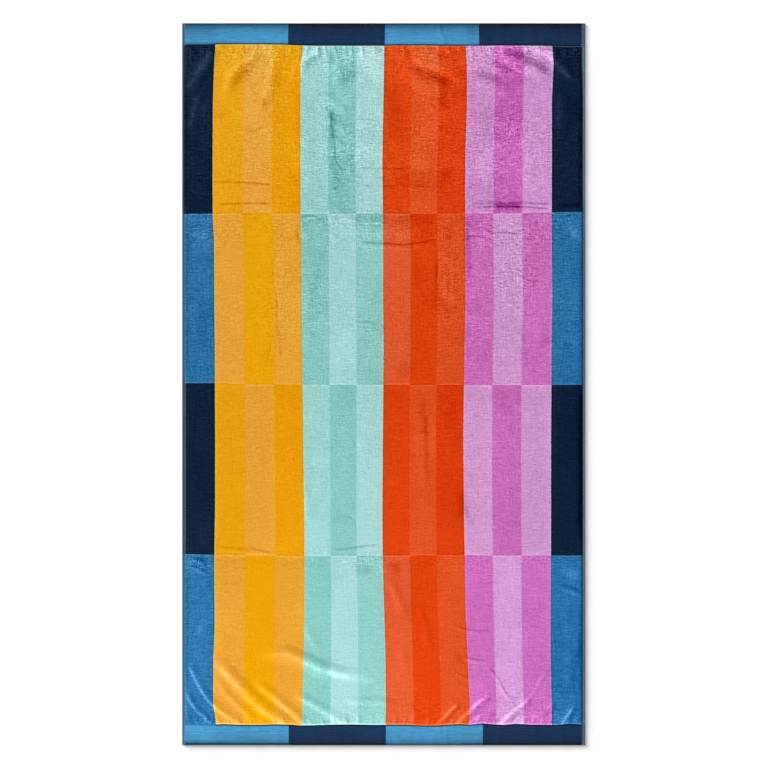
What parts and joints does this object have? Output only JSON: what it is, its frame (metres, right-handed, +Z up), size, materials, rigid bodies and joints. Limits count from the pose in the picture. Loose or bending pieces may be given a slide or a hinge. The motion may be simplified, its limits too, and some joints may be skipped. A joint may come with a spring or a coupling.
{
  "type": "beach towel",
  "caption": "Beach towel lying flat: velour face in offset blocks of paired light and dark stripes, blue sides, flat-woven hems in alternating blues.",
  "frame": {"origin": "middle of the towel's outline, on the surface that it lies on", "axes": "+X across the towel to the right-hand selvedge, +Y up its length to the upper hem, +Z up from the surface, out of the pile face"},
  "size_m": [1.016, 1.82, 0.006],
  "materials": {
    "towel_cloth": "cotton velour face with looped back, blocks of yellow, mint, orange-red and orchid stripes between navy and mid-blue sides, flat-woven hems in light blue and navy"
  },
  "bodies": {
    "root": {"towel": "towel_cloth"}
  },
  "joints": []
}
